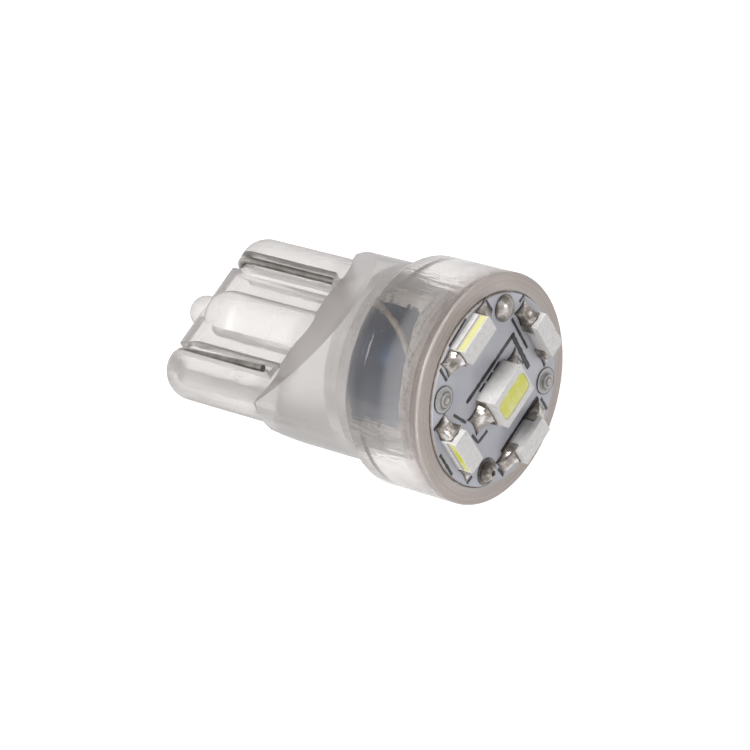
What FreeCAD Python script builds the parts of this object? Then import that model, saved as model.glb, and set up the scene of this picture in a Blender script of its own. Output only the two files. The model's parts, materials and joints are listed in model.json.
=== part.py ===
import FreeCAD, Part
import math
import os
import re
import Sketcher
from FreeCAD import Placement, Rotation, Vector

# Wedge-base lamp with five LEDs on a round board, set in the mouth of one clear moulding.
# Every piece is drawn upright first: +Z points out of the lit face, the rim is at height 0, and X runs
# across the width of the wedge. The finished lamp is then laid down on its head and its two side beads.

SIZES = {
    # Head, band and collar of the moulding, each a step wider than the one behind it
    "head_length": 4.35,
    "head_step": 0.6,
    "rim_bevel": 0.15,
    "rear_bevel": 0.25,
    "band_length": 1.15,
    "band_step": 0.1,
    "collar_length": 6.45,
    "collar_step": 0.05,
    # Two flat roof faces that narrow the collar to a ridge
    "roof_angle": 36,
    "ridge_half_width": 1.05,
    "ridge_round": 0.12,
    # Wedge with its beads, barrel and nub
    "wedge_width": 9.5,
    "wedge_length": 6.7,
    "web_half_thickness": 0.85,
    "web_end_round": 0.45,
    "bead_radius": 1.45,
    "barrel_radius": 1.4,
    "nub_radius": 0.84,
    "nub_reach": 1.07,
    "root_depth": 1.2,
    # Hollow inside the head
    "rim_wall": 0.85,
    "board_ledge": 0.35,
    "cavity_floor_depth": 6.7,
    "cavity_taper_length": 1.2,
    "cavity_taper_step": 0.9,
    # Contact wires and their grooves
    "wire_radius": 0.175,
    "wire_inset": 0.4,
    "wire_offset": 1.0,
    "wire_turn_offset": 0.85,
    "wire_turn_flat": 0.02,
    "wire_turn_sink": 0.325,
    "wire_spring": 0.48,
    "wire_exit_bend": 0.35,
    "wire_loop_bend": 1.0,
    "wire_return_gap": 0.52,
    "wire_clearance": 0.02,
    "wire_floor_gap": 0.45,
    "wire_wall_gap": 0.12,
    "groove_inner_gap": 0.35,
    "groove_outer_gap": 0.1,
    # Board and glue
    "board_thickness": 1.0,
    "board_proud": 0.15,
    "board_clearance": 0.08,
    "board_hole_clearance": 0.08,
    "glue_height": 0.9,
    "glue_width": 0.68,
    "glue_clearance": 0.02,
    # Soldered joints
    "joint_wall_gap": 0.425,
    "joint_pad_radius": 0.66,
    "joint_pad_height": 0.05,
    "joint_dome_radius": 0.48,
    "joint_dome_height": 0.26,
    "joint_bore_clearance": 0.01,
    "closed_dome_radius": 0.62,
    "closed_dome_height": 0.45,
    "closed_lead_height": 0.12,
    "tall_dome_radius": 0.5,
    "tall_dome_height": 0.42,
    "tall_lead_sink": 0.2,
    # Potted current limiter and its leads
    "limiter_wall_gap": 0.8,
    "limiter_top_depth": 2.0,
    "limiter_floor_gap": 1.0,
    "limiter_top_bevel": 0.3,
    "limiter_bevel": 0.55,
    "limiter_inner_bevel": 0.16,
    "limiter_wire_depth": 0.6,
    "lead_radius": 0.14,
    "lead_drop": 0.75,
    "lead_bend": 0.25,
    "loop_inset": 0.9,
    "loop_drop": 0.4,
    "loop_bend": 0.18,
    # Centre LED, lighting forwards
    "centre_length": 2.6,
    "centre_width": 1.8,
    "centre_height": 1.1,
    "centre_window_length": 2.2,
    "centre_window_width": 1.15,
    "centre_window_corner": 0.3,
    "centre_solder_run": 0.85,
    "centre_solder_rise": 0.62,
    "centre_solder_width": 1.3,
    "centre_solder_outer_tip": 0.45,
    "centre_solder_inner_tip": 0.45,
    "centre_shift": -0.08,
    # Side LEDs, lighting outwards
    "side_length": 2.35,
    "side_width": 1.05,
    "side_height": 0.86,
    "side_window_length": 2.1,
    "side_window_height": 0.45,
    "side_window_top_gap": 0.1,
    "side_solder_joint_gap": 0.14,
    "side_solder_rise": 0.55,
    "side_solder_width": 0.9,
    "side_solder_outer_tip": 0.05,
    "side_solder_inner_tip": 0.35,
    "side_terminal_flap": 0.45,
    # Gap from each side LED to the wall of the recess, and its shift along its own length
    "wall_gap_plus_x": 0.55,
    "wall_gap_plus_y": 0.33,
    "wall_gap_minus_x": 0.62,
    "wall_gap_minus_y": 0.68,
    "shift_plus_x": 0.1,
    "shift_plus_y": 0.1,
    "shift_minus_x": 0.17,
    "shift_minus_y": 0.08,
    # What all LEDs share
    "housing_corner": 0.06,
    "window_recess": 0.12,
    "window_sunk": 0.04,
    "window_clearance": 0.01,
    "solder_foot": 0.06,
    "terminal_thickness": 0.1,
    "terminal_height": 0.55,
    "terminal_side_gap": 0.12,
}

COLLAR_RADIUS = "(wedge_width / 2 + collar_step)"
BAND_RADIUS = f"({COLLAR_RADIUS} + band_step)"
HEAD_RADIUS = f"({BAND_RADIUS} + head_step)"
RECESS_RADIUS = f"({HEAD_RADIUS} - rim_wall)"
CAVITY_RADIUS = f"({RECESS_RADIUS} - board_ledge)"
CAVITY_TAPER_DEPTH = "(cavity_floor_depth - cavity_taper_length)"
COLLAR_END = "(head_length + collar_length)"
WEDGE_END = f"({COLLAR_END} + wedge_length)"
WEDGE_ROOT = f"({COLLAR_END} - root_depth)"
BOARD_BACK = "(board_thickness - board_proud)"
BEAD_CENTRE = "(wedge_width / 2 - bead_radius)"
WIRE_SPACING = f"({BEAD_CENTRE} - wire_inset)"
WIRE_BORE = "(wire_radius + wire_clearance)"
WIRE_BEND = "((wire_offset + wire_turn_offset - wire_turn_flat) / 2)"
LIMITER_RADIUS = f"({CAVITY_RADIUS} - limiter_wall_gap)"
LIMITER_END = "(cavity_floor_depth - limiter_floor_gap)"
JOINT_RADIUS = f"({CAVITY_RADIUS} - joint_wall_gap)"
JOINT_OFFSET = f"({JOINT_RADIUS} / sqrt(2))"
SOLDER_RUN = {
    "centre": "centre_solder_run",
    "side": f"({JOINT_OFFSET} - joint_pad_radius - side_solder_joint_gap - side_length / 2)",
}

# Where the right contact wire and the limiter's loop go in the gap round the limiter, on their way up to
# the board: angle round the lamp's axis in degrees, and share of the way down the hollow
DIRECT_RUN = [(188, 0.88), (176, 0.68), (160, 0.45)]
SLACK_LOOP = [(103, 0.82), (86.8, 0.815), (85.6, 0.68), (89.5, 0.55), (97.5, 0.385), (107.6, 0.24),
              (116, 0.16)]
LANDING_SHARE = 0.155
JOINT_ANGLE = 135

doc = FreeCAD.newDocument("wedge_lamp")
sheet = doc.addObject("Spreadsheet::Sheet", "sizes")
for row, (alias, size) in enumerate(SIZES.items(), start=1):
    sheet.set(f"A{row}", alias)
    sheet.set(f"B{row}", str(size))
    sheet.setAlias(f"B{row}", alias)
doc.recompute()


# Helpers that read the sheet


def number(expression):
    """What an expression on the sheet's names comes to."""
    result = sheet.evalExpression(str(expression))
    return float(getattr(result, "Value", result))


def bound(expression):
    """The expression with each size name pointed at its cell."""
    def point(word):
        return f"sizes.{word.group()}" if word.group() in SIZES else word.group()
    return re.sub(r"[a-z_]+", point, str(expression))


# Helpers for sketches and features


def new_body(name):
    return doc.addObject("PartDesign::Body", name)


def origin_feature(body, role):
    return next(f for f in body.Origin.OriginFeatures if f.Role == role)


def attached_sketch(body, name, plane, lift):
    sketch = body.newObject("Sketcher::SketchObject", f"{body.Name}_{name}")
    sketch.AttachmentSupport = (origin_feature(body, plane), [""])
    sketch.MapMode = "FlatFace"
    sketch.setExpression("AttachmentOffset.Base.z", bound(lift))
    return sketch


def tie(sketch, kind, *where, value):
    """One driving dimension, tied to the sheet."""
    index = sketch.addConstraint(Sketcher.Constraint(kind, *where, number(value)))
    sketch.setExpression(f"Constraints[{index}]", bound(value))


def arc_between(start, end, radius, side):
    """Short arc from start to end with its centre to the left or right of the way there."""
    across = end - start
    middle = (start + end) * 0.5
    normal = Vector(-across.y, across.x, 0).normalize()
    height = math.sqrt(max(radius**2 - (across.Length / 2)**2, 0))
    centre = middle + normal * (height if side == "left" else -height)
    angles = [math.atan2(p.y - centre.y, p.x - centre.x) for p in (start, end)]
    if side == "right":
        angles.reverse()
    circle = Part.Circle(centre, Vector(0, 0, 1), radius)
    return Part.ArcOfCircle(circle, angles[0], angles[1])


def outline(body, name, plane, corners, lift="0"):
    """Closed outline. A corner is (x, y), or (x, y, radius, side) where an arc leads to the next corner."""
    sketch = attached_sketch(body, name, plane, lift)
    places = [Vector(number(corner[0]), number(corner[1]), 0) for corner in corners]
    ends = []
    for index, corner in enumerate(corners):
        start, end = places[index], places[(index + 1) % len(places)]
        if len(corner) == 2:
            sketch.addGeometry(Part.LineSegment(start, end), False)
            ends.append((1, 2))
        else:
            sketch.addGeometry(arc_between(start, end, number(corner[2]), corner[3]), False)
            ends.append((1, 2) if corner[3] == "left" else (2, 1))
    for index, corner in enumerate(corners):
        following = (index + 1) % len(corners)
        joined = Sketcher.Constraint("Coincident", index, ends[index][1], following, ends[following][0])
        sketch.addConstraint(joined)
        tie(sketch, "DistanceX", -1, 1, index, ends[index][0], value=corner[0])
        tie(sketch, "DistanceY", -1, 1, index, ends[index][0], value=corner[1])
        if len(corner) > 2:
            tie(sketch, "Radius", index, value=corner[2])
    return sketch


def circles(body, name, plane, places, radius, lift="0"):
    """One circle at each place."""
    sketch = attached_sketch(body, name, plane, lift)
    for index, (x, y) in enumerate(places):
        centre = Vector(number(x), number(y), 0)
        sketch.addGeometry(Part.Circle(centre, Vector(0, 0, 1), number(radius)), False)
        tie(sketch, "DistanceX", -1, 1, index, 3, value=x)
        tie(sketch, "DistanceY", -1, 1, index, 3, value=y)
        tie(sketch, "Radius", index, value=radius)
    return sketch


def rounded_rectangle(half_length, low, high, corner):
    """Corners of a rectangle with rounded corners, from low to high and half_length to each side."""
    inner = f"({half_length} - {corner})"
    return [
        (f"-{inner}", low),
        (inner, low, corner, "left"),
        (half_length, f"{low} + {corner}"),
        (half_length, f"{high} - {corner}", corner, "left"),
        (inner, high),
        (f"-{inner}", high, corner, "left"),
        (f"-{half_length}", f"{high} - {corner}"),
        (f"-{half_length}", f"{low} + {corner}", corner, "left"),
    ]


def turned(body, name, sketch, kind="Revolution", axis="V_Axis"):
    feature = body.newObject(f"PartDesign::{kind}", f"{body.Name}_{name}")
    feature.Profile = sketch
    feature.ReferenceAxis = (sketch, [axis])
    feature.Angle = 360
    return feature


def extruded(body, name, sketch, length, kind="Pad", reverse=False, both_ways=False):
    feature = body.newObject(f"PartDesign::{kind}", f"{body.Name}_{name}")
    feature.Profile = sketch
    feature.setExpression("Length", bound(length))
    feature.Reversed = reverse
    if both_ways:
        feature.SideType = "Symmetric"
    return feature


def mirrored(body, name, feature, plane="YZ_Plane"):
    copy = body.newObject("PartDesign::Mirrored", f"{body.Name}_{name}")
    copy.Originals = [feature]
    copy.MirrorPlane = (origin_feature(body, plane), [""])
    body.Tip = copy
    return copy


def repeated(body, name, feature, count):
    """Copies of a feature spread round the lamp's axis."""
    copy = body.newObject("PartDesign::PolarPattern", f"{body.Name}_{name}")
    copy.Originals = [feature]
    copy.Axis = (origin_feature(body, "Z_Axis"), [""])
    copy.Angle = 360
    copy.Occurrences = count
    body.Tip = copy
    return copy


def rounded(body, name, base, radius, wanted):
    """Fillet on the edges of base that wanted() picks."""
    doc.recompute()
    picked = [f"Edge{i}" for i, edge in enumerate(base.Shape.Edges, start=1) if wanted(edge)]
    fillet = body.newObject("PartDesign::Fillet", f"{body.Name}_{name}")
    fillet.Base = (base, picked)
    fillet.setExpression("Radius", bound(radius))
    return fillet


def is_line(edge, horizontal):
    """Whether an edge is straight, and lies flat or stands up as asked."""
    if edge.Degenerated or not isinstance(edge.Curve, Part.Line):
        return False
    flat = abs(edge.Curve.Direction.z) < 1e-4
    return flat if horizontal else abs(edge.Curve.Direction.z) > 1 - 1e-4


# The clear moulding


def base_moulding():
    """Head, band, collar with roof faces, wedge with beads, barrel and nub, and the hollow inside."""
    body = new_body("base_moulding")
    band_end = "(head_length + band_length)"
    shell = turned(body, "shell", outline(body, "shell_outline", "XZ_Plane", [
        ("0", "0"),
        (f"{HEAD_RADIUS} - rim_bevel", "0"),
        (HEAD_RADIUS, "-rim_bevel"),
        (HEAD_RADIUS, "-head_length + rear_bevel"),
        (f"{HEAD_RADIUS} - rear_bevel", "-head_length"),
        (BAND_RADIUS, "-head_length"),
        (BAND_RADIUS, f"-{band_end}"),
        (COLLAR_RADIUS, f"-{band_end}"),
        (COLLAR_RADIUS, f"-{COLLAR_END}"),
        ("0", f"-{COLLAR_END}"),
    ]))
    body.Tip = shell
    # Roof faces, from the ridge up to the side of the collar
    rise = f"(({BAND_RADIUS} - ridge_half_width) / tan(roof_angle))"
    roof = extruded(body, "roof", outline(body, "roof_outline", "YZ_Plane", [
        ("ridge_half_width", f"-{COLLAR_END}"),
        (BAND_RADIUS, f"-{COLLAR_END}"),
        (BAND_RADIUS, f"-{COLLAR_END} + {rise}"),
    ]), f"2 * {HEAD_RADIUS}", "Pocket", both_ways=True)
    roofs = mirrored(body, "roofs", roof, "XZ_Plane")
    ridge = rounded(body, "ridge_round", roofs, "ridge_round", lambda e: is_line(e, horizontal=True))
    body.Tip = ridge
    # Web between the beads, rounded at its end
    flank = "(web_half_thickness - web_end_round)"
    turn = f"({WEDGE_END} - web_end_round)"
    extruded(body, "web", outline(body, "web_outline", "YZ_Plane", [
        ("-web_half_thickness", f"-{WEDGE_ROOT}"),
        ("-web_half_thickness", f"-{turn}", "web_end_round", "left"),
        (f"-{flank}", f"-{WEDGE_END}"),
        (flank, f"-{WEDGE_END}", "web_end_round", "left"),
        ("web_half_thickness", f"-{turn}"),
        ("web_half_thickness", f"-{WEDGE_ROOT}"),
    ]), f"2 * {BEAD_CENTRE}", both_ways=True)
    # Side beads with ball ends
    bead = turned(body, "bead", outline(body, "bead_outline", "XZ_Plane", [
        (BEAD_CENTRE, f"-{WEDGE_END}"),
        (BEAD_CENTRE, f"-{WEDGE_ROOT}"),
        (f"{BEAD_CENTRE} + bead_radius", f"-{WEDGE_ROOT}"),
        (f"{BEAD_CENTRE} + bead_radius", f"-{WEDGE_END} + bead_radius", "bead_radius", "right"),
    ]), axis="Edge1")
    mirrored(body, "beads", bead)
    # Barrel on the middle line, ending in the nub
    shoulder = f"({WEDGE_END} - bead_radius)"
    neck = f"({shoulder} + sqrt(barrel_radius^2 - nub_radius^2))"
    tip = f"({WEDGE_END} + nub_reach)"
    turned(body, "barrel", outline(body, "barrel_outline", "XZ_Plane", [
        ("0", f"-{tip}"),
        ("0", f"-{WEDGE_ROOT}"),
        ("barrel_radius", f"-{WEDGE_ROOT}"),
        ("barrel_radius", f"-{shoulder}", "barrel_radius", "right"),
        ("nub_radius", f"-{neck}"),
        ("nub_radius", f"-{tip} + nub_radius", "nub_radius", "right"),
    ]))
    # Grooves that the wires lie in, deeper on the face where the wire comes back with its free end
    going = f"(wire_offset - {WIRE_BORE})"
    back = f"(wire_turn_offset - {WIRE_BORE})"
    end = f"({WEDGE_END} - wire_turn_sink - wire_clearance)"
    corner = f"({WIRE_BEND} - {WIRE_BORE})"
    beyond = "2 * bead_radius"
    below = f"-{WEDGE_END} - bead_radius"
    groove = extruded(body, "groove", outline(body, "groove_outline", "YZ_Plane", [
        (going, f"-{COLLAR_END}"),
        (going, f"-{end} + {corner}", corner, "right"),
        (f"{going} - {corner}", f"-{end}"),
        (f"-{back} + {corner}", f"-{end}", corner, "right"),
        (f"-{back}", f"-{end} + {corner}"),
        (f"-{back}", f"-{COLLAR_END}"),
        (f"-{beyond}", f"-{COLLAR_END}"),
        (f"-{beyond}", below),
        (beyond, below),
        (beyond, f"-{COLLAR_END}"),
    ], lift=f"{WIRE_SPACING} - wire_radius - groove_inner_gap"),
        "2 * wire_radius + groove_inner_gap + groove_outer_gap", "Pocket", reverse=True)
    repeated(body, "grooves", groove, 2)
    # Holes that lead the wires up through the collar
    extruded(body, "wire_holes", circles(body, "wire_hole_circles", "XY_Plane", [
        (WIRE_SPACING, "wire_offset"),
        (f"-{WIRE_SPACING}", "-wire_offset"),
    ], WIRE_BORE, lift=f"-{COLLAR_END}"),
        f"{COLLAR_END} - cavity_floor_depth + wire_radius", "Pocket", reverse=True)
    # Hollow for the board and what hangs under it
    turned(body, "hollow", outline(body, "hollow_outline", "XZ_Plane", [
        ("0", "0"),
        ("0", "-cavity_floor_depth"),
        (f"{CAVITY_RADIUS} - cavity_taper_step", "-cavity_floor_depth"),
        (CAVITY_RADIUS, f"-{CAVITY_TAPER_DEPTH}"),
        (CAVITY_RADIUS, f"-{BOARD_BACK}"),
        (RECESS_RADIUS, f"-{BOARD_BACK}"),
        (RECESS_RADIUS, "0"),
    ]), "Groove")
    return body


# Round wires


def bent_wire(name, radius, points, bends):
    """Round wire along straight runs, joined by an arc of the given radius at each inner point."""
    edges = []
    start = points[0]
    for before, corner, after, bend in zip(points, points[1:], points[2:], bends):
        back = (before - corner).normalize()
        ahead = (after - corner).normalize()
        half_angle = back.getAngle(ahead) / 2
        inward = (back + ahead).normalize()
        setback = bend / math.tan(half_angle)
        crown = corner + inward * (bend / math.sin(half_angle) - bend)
        edges.append(Part.LineSegment(start, corner + back * setback).toShape())
        edges.append(Part.Arc(corner + back * setback, crown, corner + ahead * setback).toShape())
        start = corner + ahead * setback
    edges.append(Part.LineSegment(start, points[-1]).toShape())
    path = Part.Wire(edges)
    section = Part.Wire(Part.Circle(points[0], points[1] - points[0], number(radius)).toShape())
    wire = doc.addObject("Part::Feature", name)
    wire.Shape = path.makePipeShell([section], True, False)
    expected = math.pi * number(radius)**2 * path.Length
    print(f"{name}: volume over section times length {wire.Shape.Volume / expected:.4f}")
    return wire


def largest_bend(before, corner, after):
    """The largest arc that two runs have room for, up to the slack loop's own."""
    turn = math.pi - (before - corner).getAngle(after - corner)
    room = 0.45 * min((before - corner).Length, (after - corner).Length)
    return min(room / math.tan(turn / 2), number("wire_loop_bend"))


def bends_to_board(name, points, first_bends):
    """The given first bends, the largest that fit after them, and a close one under the board."""
    corners = list(zip(points, points[1:], points[2:]))[len(first_bends):-1]
    bends = first_bends + [largest_bend(*corner) for corner in corners] + [number("wire_exit_bend")]
    print(f"{name}: bend radii", [round(bend, 2) for bend in bends])
    return bends


def round_axis(radius, degrees, depth):
    """A place at a radius and angle round the lamp's axis, so far below the rim."""
    return Vector(radius * math.cos(math.radians(degrees)), radius * math.sin(math.radians(degrees)), -depth)


def up_to_board(route):
    """Places in the gap beside the limiter, and from there up through the board and its joint."""
    back = number(BOARD_BACK)
    hollow = number("cavity_floor_depth") - back
    taper = number("cavity_taper_step / cavity_taper_length")
    middle = number(f"({LIMITER_RADIUS} + {CAVITY_RADIUS}) / 2")
    places = []
    for degrees, share in route:
        depth = back + share * hollow
        narrowing = max(depth - number(CAVITY_TAPER_DEPTH), 0) * taper
        room = number(f"{CAVITY_RADIUS} - wire_radius - wire_wall_gap") - narrowing
        places.append(round_axis(min(middle, room), degrees, depth))
    landing = round_axis(number(JOINT_RADIUS), JOINT_ANGLE, back + LANDING_SHARE * hollow)
    return places + [landing, Vector(landing.x, landing.y, number("board_proud + joint_dome_height"))]


def round_wedge(end_depth):
    """Places from the sprung free end on one face, round the wedge and up through the collar to a depth."""
    spacing = -number(WIRE_SPACING)
    offset = number("wire_offset")
    turn_offset = number("wire_turn_offset")
    turn_height = -number(f"{WEDGE_END} + wire_radius - wire_turn_sink")
    return [
        Vector(spacing, turn_offset + number("wire_spring"), -number(f"{COLLAR_END} + wire_return_gap")),
        Vector(spacing, turn_offset, turn_height),
        Vector(spacing, -offset, turn_height),
        Vector(spacing, -offset, -number(end_depth)),
    ]


def contact_wire_left(name):
    """Round the wedge and up into the limiter."""
    points = round_wedge(f"{LIMITER_END} - limiter_wire_depth")
    return bent_wire(name, "wire_radius", points, [number(WIRE_BEND)] * 2)


def contact_wire_right(name):
    """Round the other edge of the wedge, past the limiter and up to the board."""
    points = round_wedge("cavity_floor_depth - wire_floor_gap") + up_to_board(DIRECT_RUN)
    bends = bends_to_board(name, points, [number(WIRE_BEND)] * 2 + [number("wire_exit_bend")])
    half_turn = Rotation(Vector(0, 0, 1), 180)
    return bent_wire(name, "wire_radius", [half_turn.multVec(point) for point in points], bends)


def limiter_loop(name):
    """From under the limiter out to its side and up in a slack loop to the board."""
    radius = number(f"{LIMITER_RADIUS} - loop_inset")
    degrees = SLACK_LOOP[0][0]
    points = [
        round_axis(radius, degrees, number(f"{LIMITER_END} + joint_bore_clearance")),
        round_axis(radius, degrees, number(f"{LIMITER_END} + loop_drop")),
    ] + up_to_board(SLACK_LOOP)
    bends = bends_to_board(name, points, [number("loop_bend")] * 2)
    return bent_wire(name, "lead_radius", points, bends)


def limiter_lead(name, degrees, top):
    """From the side of the limiter out and up through the board."""
    depth = number("limiter_top_depth + lead_drop")
    joint_radius = number(JOINT_RADIUS)
    points = [
        round_axis(number(f"{LIMITER_RADIUS} + joint_bore_clearance"), degrees, depth),
        round_axis(joint_radius, degrees, depth),
        round_axis(joint_radius, degrees, -number(top)),
    ]
    return bent_wire(name, "lead_radius", points, [number("lead_bend")])


# Board, glue, limiter and joints


def circuit_board():
    """Round board with a hole for each of the four wire ends."""
    body = new_body("circuit_board")
    extruded(body, "disc", circles(body, "disc_circle", "XY_Plane", [("0", "0")],
             f"{RECESS_RADIUS} - board_clearance", lift=f"-{BOARD_BACK}"), "board_thickness")
    hole = extruded(body, "hole", circles(body, "hole_circle", "XY_Plane", [(JOINT_OFFSET, JOINT_OFFSET)],
                    "wire_radius + board_hole_clearance", lift="board_proud"), "board_thickness", "Pocket")
    repeated(body, "holes", hole, 4)
    return body


def glue_ring():
    """Bead of glue in the corner between the board's back and the wall, run round the four leads."""
    body = new_body("glue_ring")
    wall = f"({CAVITY_RADIUS} - glue_clearance)"
    turned(body, "bead", outline(body, "bead_outline", "XZ_Plane", [
        (wall, f"-{BOARD_BACK}"),
        (f"{wall} - glue_width", f"-{BOARD_BACK}"),
        (wall, f"-{BOARD_BACK} - glue_height"),
    ]))
    hole = extruded(body, "lead_hole", circles(body, "lead_hole_circle", "XY_Plane",
                    [(JOINT_OFFSET, JOINT_OFFSET)], WIRE_BORE, lift=f"-{BOARD_BACK}"),
                    "2 * glue_height", "Pocket")
    repeated(body, "lead_holes", hole, 4)
    return body


def limiter_body():
    """Round potted piece, bevelled twice at its lower end, with a hole for the left contact wire."""
    body = new_body("limiter_body")
    turned(body, "potting", outline(body, "potting_outline", "XZ_Plane", [
        ("0", f"-{LIMITER_END}"),
        (f"{LIMITER_RADIUS} - limiter_bevel", f"-{LIMITER_END}"),
        (f"{LIMITER_RADIUS} - limiter_inner_bevel", f"-{LIMITER_END} + limiter_inner_bevel"),
        (LIMITER_RADIUS, f"-{LIMITER_END} + limiter_bevel"),
        (LIMITER_RADIUS, "-limiter_top_depth - limiter_top_bevel"),
        (f"{LIMITER_RADIUS} - limiter_top_bevel", "-limiter_top_depth"),
        ("0", "-limiter_top_depth"),
    ]))
    extruded(body, "wire_hole", circles(body, "wire_hole_circle", "XY_Plane",
             [(f"-{WIRE_SPACING}", "-wire_offset")], "wire_radius + joint_bore_clearance",
             lift=f"-{LIMITER_END}"), "limiter_wire_depth + joint_bore_clearance", "Pocket", reverse=True)
    return body


def joint(name, dome, wire):
    """Solder on its round pad, with the wire's cut end showing unless the dome is closed."""
    body = new_body(name)
    bore = f"({wire}_radius + joint_bore_clearance)"
    pad = [
        (bore, "0"),
        ("joint_pad_radius", "0"),
        ("joint_pad_radius", "joint_pad_height"),
    ]
    if dome == "closed_dome":
        rise = "(closed_dome_height - joint_pad_height)"
        crown = f"((closed_dome_radius^2 + {rise}^2) / (2 * {rise}))"
        corners = [("0", "closed_lead_height"), (bore, "closed_lead_height")] + pad + [
            ("closed_dome_radius", "joint_pad_height", crown, "left"),
            ("0", "closed_dome_height"),
        ]
    else:
        corners = pad + [
            (f"{dome}_radius", "joint_pad_height", f"{dome}_radius", "left"),
            (bore, f"{dome}_height"),
        ]
    turned(body, "solder", outline(body, "solder_outline", "XZ_Plane", corners))
    return body


# LEDs, each drawn with its length along X and its outward side at +Y


def window_outline(body, name, led, inset, depth):
    """Outline of an LED's window, set back by depth from the face that it shines through."""
    half_length = f"({led}_window_length / 2 - {inset})"
    if led == "centre":
        edge = f"(centre_window_width / 2 - {inset})"
        corners = rounded_rectangle(half_length, f"-{edge}", edge, "centre_window_corner")
        return outline(body, name, "XY_Plane", corners, lift=f"centre_height - {depth}")
    high = f"(side_height - side_window_top_gap - {inset})"
    low = f"(side_height - side_window_top_gap - side_window_height + {inset})"
    corners = [(f"-{half_length}", low), (half_length, low), (half_length, high), (f"-{half_length}", high)]
    return outline(body, name, "XZ_Plane", corners, lift=f"-(side_width / 2 - {depth})")


def led_housing(name, led):
    """White housing with a recess for the window."""
    body = new_body(name)
    half_length = f"({led}_length / 2 - terminal_thickness)"
    rear = f"-{led}_width / 2" + (" + terminal_thickness" if led == "side" else "")
    front = f"{led}_width / 2"
    block = extruded(body, "block", outline(body, "block_outline", "XY_Plane", [
        (f"-{half_length}", rear),
        (half_length, rear),
        (half_length, front),
        (f"-{half_length}", front),
    ]), f"{led}_height")
    body.Tip = rounded(body, "corners", block, "housing_corner", lambda e: is_line(e, horizontal=False))
    recess = window_outline(body, "recess_outline", led, "0", "0")
    extruded(body, "recess", recess, "window_recess", "Pocket", reverse=led == "side")
    return body


def led_window(name, led):
    """Yellow filling of the recess, a little below its edge."""
    body = new_body(name)
    filling = window_outline(body, "filling_outline", led, "window_clearance", "window_recess")
    extruded(body, "filling", filling, "window_recess - window_sunk", reverse=led == "side")
    return body


def led_terminals(name, led):
    """Metal cap on each end; on a side LED it turns round the rear corner."""
    body = new_body(name)
    end = f"({led}_length / 2)"
    inner = f"({led}_length / 2 - terminal_thickness)"
    front = f"({led}_width / 2 - terminal_side_gap)"
    rear = f"({led}_width / 2)"
    if led == "side":
        corners = [
            (inner, front),
            (inner, f"-{rear} + terminal_thickness"),
            (f"{end} - side_terminal_flap", f"-{rear} + terminal_thickness"),
            (f"{end} - side_terminal_flap", f"-{rear}"),
            (end, f"-{rear}"),
            (end, front),
        ]
    else:
        corners = [(inner, front), (inner, f"-{front}"), (end, f"-{front}"), (end, front)]
    cap = extruded(body, "cap", outline(body, "cap_outline", "XY_Plane", corners), "terminal_height")
    mirrored(body, "caps", cap)
    return body


def led_solder(name, led):
    """Hollow-topped fillet of solder from each end cap down to its pad, narrower at the tip."""
    body = new_body(name)
    end = f"({led}_length / 2)"
    run = SOLDER_RUN[led]
    rise = f"({led}_solder_rise - solder_foot)"
    half = f"({led}_solder_width / 2)"
    fillet = extruded(body, "fillet", outline(body, "fillet_outline", "XZ_Plane", [
        (end, "0"),
        (end, f"{led}_solder_rise", f"sqrt({run}^2 + {rise}^2)", "left"),
        (f"{end} + {run}", "solder_foot"),
        (f"{end} + {run}", "0"),
    ]), f"2 * {half}", both_ways=True)
    body.Tip = fillet
    cuts = [fillet]
    for side, sign in (("outer", ""), ("inner", "-")):
        beyond = f"{sign}{half} {sign or '+'} {half}"
        cuts.append(extruded(body, f"{side}_cheek", outline(body, f"{side}_cheek_outline", "XY_Plane", [
            (end, f"{sign}{half}"),
            (f"{end} + {run}", f"{sign}{led}_solder_{side}_tip"),
            (f"{end} + 2 * {run}", f"{sign}{led}_solder_{side}_tip"),
            (f"{end} + 2 * {run}", beyond),
            (end, beyond),
        ]), f"2 * {led}_solder_rise", "Pocket", reverse=True))
    copy = body.newObject("PartDesign::Mirrored", f"{body.Name}_fillets")
    copy.Originals = cuts
    copy.MirrorPlane = (origin_feature(body, "YZ_Plane"), [""])
    body.Tip = copy
    return body


# Places on the board, and the pose in which the lamp lies


def resting_turn():
    """Turn about X that lays the head's rear edge and the two beads on the same level surface."""
    bead_depth = number(f"{WEDGE_END} - bead_radius")
    edge_depth = number("head_length - rear_bevel")
    edge_drop = number(HEAD_RADIUS)
    span = math.hypot(bead_depth - edge_depth, edge_drop)
    slope = math.atan2(edge_drop, bead_depth - edge_depth)
    tilt = slope - math.asin(number("bead_radius") / span)
    drop = bead_depth * math.sin(tilt) + number("bead_radius")
    print(f"lies with its axis {math.degrees(tilt):.3f} degrees up")
    return Rotation(Vector(1, 0, 0), 90 - math.degrees(tilt)), drop


def on_board(x, y, degrees):
    return Placement(Vector(x, y, number("board_proud")), Rotation(Vector(0, 0, 1), degrees))


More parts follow.
